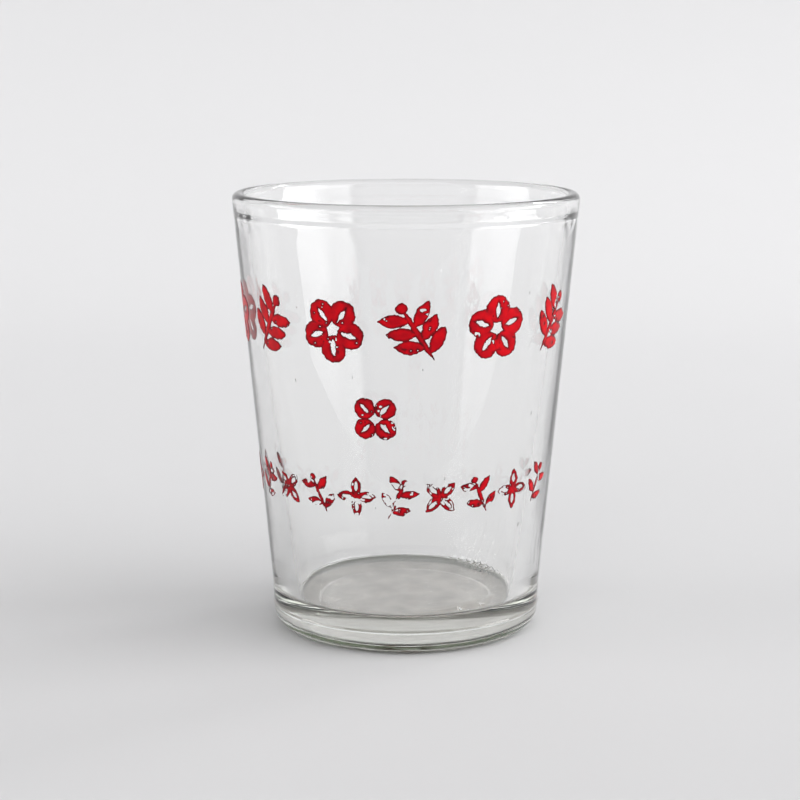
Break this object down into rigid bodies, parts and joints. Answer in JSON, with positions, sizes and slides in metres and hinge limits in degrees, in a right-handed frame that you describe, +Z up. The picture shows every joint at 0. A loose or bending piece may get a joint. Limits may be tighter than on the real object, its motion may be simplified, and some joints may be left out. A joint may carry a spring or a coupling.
{
  "type": "shot glass",
  "caption": "Small tapered drinking glass of clear pressed glass with a thick base, a rounded rim and three rows of red enamel ornaments.",
  "frame": {"origin": "centre of the standing ring, on the plane that the glass stands on", "axes": "+Z up along the glass's axis, from the base to the mouth; the middle of the print faces -Y; +X to the right of it"},
  "size_m": [0.0472, 0.0472, 0.06],
  "materials": {
    "clear_glass": "fire-polished clear pressed glass",
    "red_enamel": "fired glossy red enamel, slightly worn"
  },
  "bodies": {
    "root": {"glass_body": "clear_glass", "top_mark_1": "red_enamel", "top_mark_2": "red_enamel", "top_mark_3": "red_enamel", "top_mark_4": "red_enamel", "top_mark_5": "red_enamel", "top_mark_6": "red_enamel", "middle_mark": "red_enamel", "low_mark_1": "red_enamel", "low_mark_2": "red_enamel", "low_mark_3": "red_enamel", "low_mark_4": "red_enamel", "low_mark_5": "red_enamel", "low_mark_6": "red_enamel", "low_mark_7": "red_enamel", "low_mark_8": "red_enamel", "low_mark_9": "red_enamel", "low_mark_10": "red_enamel"}
  },
  "joints": []
}
